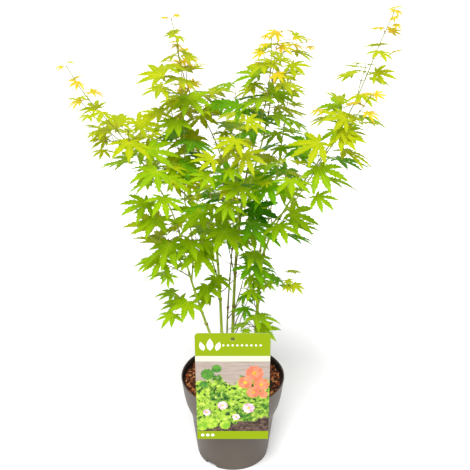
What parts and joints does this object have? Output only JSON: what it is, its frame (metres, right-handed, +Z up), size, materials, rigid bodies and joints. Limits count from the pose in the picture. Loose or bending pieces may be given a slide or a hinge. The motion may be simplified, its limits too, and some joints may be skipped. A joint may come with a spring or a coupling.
{
  "type": "potted japanese maple",
  "caption": "Young bushy Japanese maple with slender green stems and lobed leaves in a tapered nursery pot, with a picture card hooked over the rim.",
  "frame": {"origin": "middle of the pot's flat underside", "axes": "+Z up along the pot's axis; the card hangs on the -Y side, the plant's widest spread runs along X"},
  "size_m": [0.5517, 0.3513, 0.8598],
  "materials": {
    "pot": "satin taupe",
    "compost": "rough bark compost",
    "card": "printed, satin",
    "bark": "smooth green bark",
    "foliage": "soft satin leaf"
  },
  "bodies": {
    "root": {"pot": "pot", "compost": "compost", "picture_card": "card", "stem_left": "bark", "stem_mid_left": "bark", "stem_thin": "bark", "stem_centre": "bark", "stem_right": "bark", "bough_left_outer": "bark", "bough_left_upright": "bark", "bough_mid_left_low": "bark", "bough_mid_left_high": "bark", "bough_centre_left": "bark", "bough_centre_right": "bark", "bough_centre_front": "bark", "bough_right_low": "bark", "bough_right_high": "bark", "bough_back_left": "bark", "bough_back_right": "bark", "spray_left_drooping": "foliage", "spray_left_middle": "foliage", "spray_left_low": "foliage", "spray_left_inner": "foliage", "spray_foot_left": "foliage", "spray_foot_middle": "foliage", "spray_front_left": "foliage", "spray_middle_high": "foliage", "spray_front_middle": "foliage", "spray_foot_shoot": "foliage", "spray_right_low": "foliage", "spray_right_side": "foliage", "spray_right_middle": "foliage", "spray_right_inner": "foliage", "spray_back_low": "foliage", "foliage_left_outer": "foliage", "foliage_left_upright": "foliage", "foliage_mid_left_low": "foliage", "foliage_mid_left_high": "foliage", "foliage_centre_left": "foliage", "foliage_centre_right": "foliage", "foliage_right_high": "foliage", "foliage_right_low": "foliage", "foliage_thin": "foliage", "foliage_front": "foliage", "foliage_back_left": "foliage", "foliage_back_right": "foliage"}
  },
  "joints": []
}
